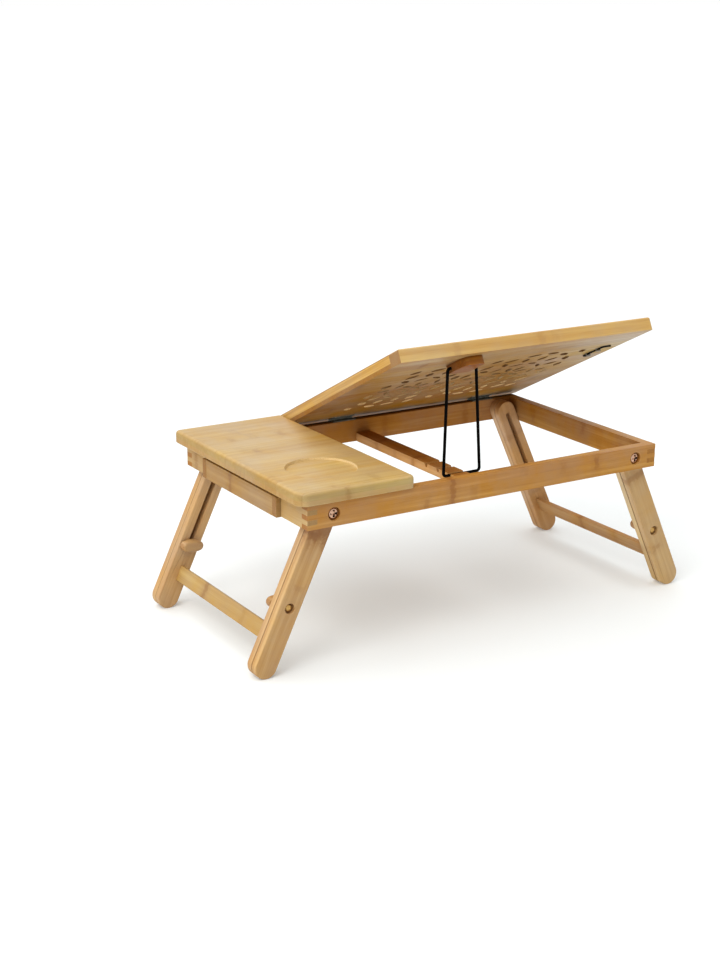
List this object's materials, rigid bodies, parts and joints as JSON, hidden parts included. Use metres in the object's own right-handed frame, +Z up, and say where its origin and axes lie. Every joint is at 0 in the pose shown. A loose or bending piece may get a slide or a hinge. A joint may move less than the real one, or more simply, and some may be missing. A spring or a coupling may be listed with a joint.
{
  "type": "folding laptop stand",
  "caption": "Folding bamboo laptop table: tilting vented panel on a wire prop, fixed side top with a cup recess over a drawer, and splayed telescopic legs.",
  "frame": {"origin": "at rest: midway between the ends of the long rails in X (the box centre is 1.2 mm to -X of it), centre of the bounding box in Y, and on the floor under the feet", "axes": "+X along the long rails towards the drawer end, +Y away from the user towards the raised edge of the panel, +Z up"},
  "size_m": [0.5908, 0.305, 0.3347],
  "materials": {
    "bamboo_panel": "satin lacquered bamboo strips",
    "bamboo_top": "satin lacquered bamboo strips",
    "bamboo_rail": "satin lacquered bamboo",
    "bamboo_inner": "satin lacquered bamboo",
    "bamboo_drawer": "satin lacquered bamboo",
    "bamboo_leg": "satin lacquered bamboo",
    "bamboo_crossbar": "satin lacquered bamboo",
    "knob_wood": "satin turned wood",
    "brass_bolt": "polished brass",
    "bronze_bolt": "antique bronze plating",
    "hinge_dark": "dark grey hinge plating",
    "screw_steel": "zinc plated",
    "wire_black": "black coated wire"
  },
  "bodies": {
    "frame": {"rail_front": "bamboo_rail", "rail_rear": "bamboo_rail", "rail_right": "bamboo_rail", "rail_left": "bamboo_rail", "fixed_top": "bamboo_top", "top_dowels": "bamboo_inner", "prop_rack": "bamboo_inner", "drawer_runner_front": "bamboo_inner", "drawer_runner_rear": "bamboo_inner", "runner_screws": "screw_steel", "leg_pivot_bolts": "bronze_bolt", "leg_pivot_nuts": "bronze_bolt", "hinge_leaf_frame_a": "hinge_dark", "hinge_leaf_frame_b": "hinge_dark", "hinge_pins": "hinge_dark", "hinge_screws_frame": "screw_steel"},
    "tilt_panel": {"panel_board": "bamboo_panel", "panel_edge_strip": "bamboo_panel", "prop_block": "bamboo_inner", "block_screws": "screw_steel", "hinge_leaf_panel_a": "hinge_dark", "hinge_leaf_panel_b": "hinge_dark", "hinge_screws_panel": "screw_steel", "underside_wire_clip": "wire_black", "clip_staples": "wire_black"},
    "prop": {"prop_wire": "wire_black"},
    "drawer": {"drawer_front": "bamboo_drawer", "drawer_side_front": "bamboo_drawer", "drawer_side_rear": "bamboo_drawer", "drawer_back": "bamboo_drawer", "drawer_bottom": "bamboo_drawer"},
    "legs_right": {"leg_upper_right_front": "bamboo_leg", "leg_upper_right_rear": "bamboo_leg", "lock_bolts_right": "brass_bolt", "lock_washers_right": "brass_bolt"},
    "slider_right": {"leg_slider_right_front": "bamboo_leg", "leg_slider_right_rear": "bamboo_leg", "crossbar_right": "bamboo_crossbar", "crossbar_screws_right": "screw_steel"},
    "knob_right_front": {"lock_knob_right_front": "knob_wood"},
    "knob_right_rear": {"lock_knob_right_rear": "knob_wood"},
    "legs_left": {"leg_upper_left_front": "bamboo_leg", "leg_upper_left_rear": "bamboo_leg", "lock_bolts_left": "brass_bolt", "lock_washers_left": "brass_bolt"},
    "slider_left": {"leg_slider_left_front": "bamboo_leg", "leg_slider_left_rear": "bamboo_leg", "crossbar_left": "bamboo_crossbar", "crossbar_screws_left": "screw_steel"},
    "knob_left_front": {"lock_knob_left_front": "knob_wood"},
    "knob_left_rear": {"lock_knob_left_rear": "knob_wood"}
  },
  "joints": [
    {"name": "panel_tilt", "type": "hinge", "parent": "frame", "child": "tilt_panel", "pos_m": [0, -0.13541, 0.19113], "axis": [1, 0, 0], "range_deg": [0, 60]},
    {"name": "prop_swing", "type": "hinge", "parent": "tilt_panel", "child": "prop", "pos_m": [0, 0.08499, 0.29798], "axis": [-1, 0, 0], "range_deg": [0, 60]},
    {"name": "drawer_slide", "type": "slide", "parent": "frame", "child": "drawer", "axis": [1, 0, 0], "range_m": [-0.0052, 0.09]},
    {"name": "leg_fold_right", "type": "hinge", "parent": "frame", "child": "legs_right", "pos_m": [0.205, 0, 0.17628], "axis": [0, 1, 0], "range_deg": [0, 115]},
    {"name": "leg_extend_right", "type": "slide", "parent": "legs_right", "child": "slider_right", "axis": [-0.4226, 0, 0.9063], "range_m": [-0.1, 0]},
    {"name": "knob_turn_right_front", "type": "hinge", "parent": "legs_right", "child": "knob_right_front", "pos_m": [0.25233, -0.09951, 0.07478], "axis": [0, 1, 0], "continuous": true},
    {"name": "knob_turn_right_rear", "type": "hinge", "parent": "legs_right", "child": "knob_right_rear", "pos_m": [0.25233, 0.11149, 0.07478], "axis": [0, 1, 0], "continuous": true},
    {"name": "leg_fold_left", "type": "hinge", "parent": "frame", "child": "legs_left", "pos_m": [-0.2074, 0, 0.17628], "axis": [0, -1, 0], "range_deg": [0, 115]},
    {"name": "leg_extend_left", "type": "slide", "parent": "legs_left", "child": "slider_left", "axis": [0.4226, 0, 0.9063], "range_m": [-0.1, 0]},
    {"name": "knob_turn_left_front", "type": "hinge", "parent": "legs_left", "child": "knob_left_front", "pos_m": [-0.25473, -0.09951, 0.07478], "axis": [0, 1, 0], "continuous": true},
    {"name": "knob_turn_left_rear", "type": "hinge", "parent": "legs_left", "child": "knob_left_rear", "pos_m": [-0.25473, 0.11149, 0.07478], "axis": [0, 1, 0], "continuous": true}
  ],
  "couplings": [
    {"joint": "prop_swing", "follows": "panel_tilt", "ratio": 1}
  ]
}
